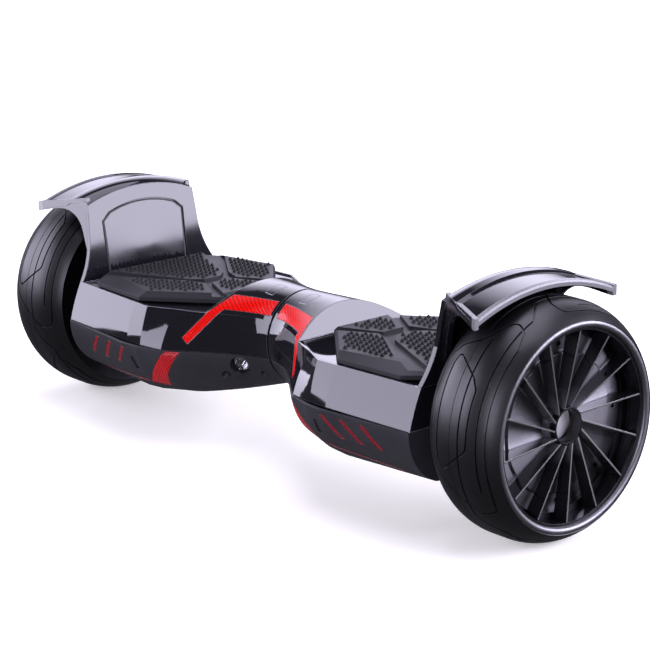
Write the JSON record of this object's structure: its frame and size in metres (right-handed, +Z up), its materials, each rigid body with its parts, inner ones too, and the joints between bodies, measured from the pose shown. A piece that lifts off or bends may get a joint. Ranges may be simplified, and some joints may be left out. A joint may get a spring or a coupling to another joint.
{
  "type": "self balancing hoverboard",
  "caption": "Two-wheeled self-balancing board with twisting halves, hub-motor wheels, fenders, light strips and rubber foot pads.",
  "frame": {"origin": "on the ground, midway between the two wheels and below the twist axis", "axes": "+X along the wheel axle towards the right wheel, -Y the front with the charge port, +Z up"},
  "size_m": [0.716, 0.221, 0.2322],
  "materials": {
    "gloss_black_shell": "high gloss black moulding",
    "gloss_black_panel": "high gloss black",
    "gloss_black_cover": "gloss black with light blade edges",
    "charcoal_shell": "fine grained matte charcoal",
    "red_light_lens": "textured red lens over lights",
    "dark_red_reflector": "dark red reflector",
    "dark_red_trim": "thin dark red trim",
    "smoked_window": "smoked indicator window",
    "pad_rubber": "soft matte rubber",
    "tyre_rubber": "satin black tyre",
    "motor_alloy": "cast and turned",
    "motor_grey": "satin grey",
    "magnet_nickel": "nickel plated",
    "bearing_steel": "ground steel",
    "polished_rim": "polished",
    "axle_steel": "turned steel",
    "stator_steel": "laminated steel",
    "cast_alloy": "die cast",
    "circuit_board": "solder mask",
    "battery_wrap": "wrapped cells",
    "battery_case_plastic": "matte",
    "bushing_brass": "bearing bronze",
    "seal_rubber": "soft black",
    "harness_rubber": "black sleeve",
    "socket_chrome": "bright chrome",
    "button_plastic": "satin dark grey",
    "screw_steel": "black oxide"
  },
  "bodies": {
    "left_half": {"left_arch_panel": "gloss_black_panel", "left_axle": "axle_steel", "left_axle_clamp": "cast_alloy", "left_chassis": "cast_alloy", "left_edge_trims": "dark_red_trim", "left_fender": "gloss_black_shell", "left_gyro_board": "circuit_board", "left_led_boards": "circuit_board", "left_led_strips": "red_light_lens", "left_lower_reflectors": "dark_red_reflector", "left_lower_shell": "charcoal_shell", "left_neck_window": "smoked_window", "left_pad_switch_board": "circuit_board", "left_shell_screws": "screw_steel", "left_slash_reflectors": "dark_red_reflector", "left_stator": "stator_steel", "left_upper_shell": "gloss_black_shell", "pivot_shaft": "axle_steel", "retaining_ring": "bearing_steel", "centre_seal": "seal_rubber", "main_harness": "harness_rubber", "battery_case": "battery_case_plastic", "battery_cells": "battery_wrap", "charge_socket": "socket_chrome"},
    "right_half": {"right_arch_panel": "gloss_black_panel", "right_axle": "axle_steel", "right_axle_clamp": "cast_alloy", "right_chassis": "cast_alloy", "right_edge_trims": "dark_red_trim", "right_fender": "gloss_black_shell", "right_gyro_board": "circuit_board", "right_led_boards": "circuit_board", "right_led_strips": "red_light_lens", "right_lower_reflectors": "dark_red_reflector", "right_lower_shell": "charcoal_shell", "right_neck_window": "smoked_window", "right_pad_switch_board": "circuit_board", "right_shell_screws": "screw_steel", "right_slash_reflectors": "dark_red_reflector", "right_stator": "stator_steel", "right_upper_shell": "gloss_black_shell", "pivot_bushings": "bushing_brass", "main_board": "circuit_board"},
    "left_wheel": {"left_tyre": "tyre_rubber", "left_motor_shell": "motor_alloy", "left_motor_cover": "motor_grey", "left_magnet_ring": "magnet_nickel", "left_wheel_bearings": "bearing_steel", "left_rim_ring": "polished_rim", "left_wheel_cover": "gloss_black_cover"},
    "right_wheel": {"right_tyre": "tyre_rubber", "right_motor_shell": "motor_alloy", "right_motor_cover": "motor_grey", "right_magnet_ring": "magnet_nickel", "right_wheel_bearings": "bearing_steel", "right_rim_ring": "polished_rim", "right_wheel_cover": "gloss_black_cover"},
    "left_pad": {"left_foot_pad": "pad_rubber"},
    "right_pad": {"right_foot_pad": "pad_rubber"},
    "button": {"power_button": "button_plastic"}
  },
  "joints": [
    {"name": "centre_twist", "type": "hinge", "parent": "left_half", "child": "right_half", "pos_m": [0, 0, 0.117], "axis": [1, 0, 0], "range_deg": [-12, 12]},
    {"name": "left_wheel_spin", "type": "hinge", "parent": "left_half", "child": "left_wheel", "pos_m": [-0.3165, 0, 0.108], "axis": [1, 0, 0], "continuous": true},
    {"name": "right_wheel_spin", "type": "hinge", "parent": "right_half", "child": "right_wheel", "pos_m": [0.3165, 0, 0.108], "axis": [1, 0, 0], "continuous": true},
    {"name": "left_pad_press", "type": "slide", "parent": "left_half", "child": "left_pad", "axis": [0, 0, -1], "range_m": [0, 0.0015], "stiffness_N_per_m": 8000, "springref_m": -0.001},
    {"name": "right_pad_press", "type": "slide", "parent": "right_half", "child": "right_pad", "axis": [0, 0, -1], "range_m": [0, 0.0015], "stiffness_N_per_m": 8000, "springref_m": -0.001},
    {"name": "power_button_press", "type": "slide", "parent": "left_half", "child": "button", "axis": [-0.3995, -0.839, 0.3695], "range_m": [0, 0.0015], "stiffness_N_per_m": 1200, "springref_m": -0.0005}
  ]
}
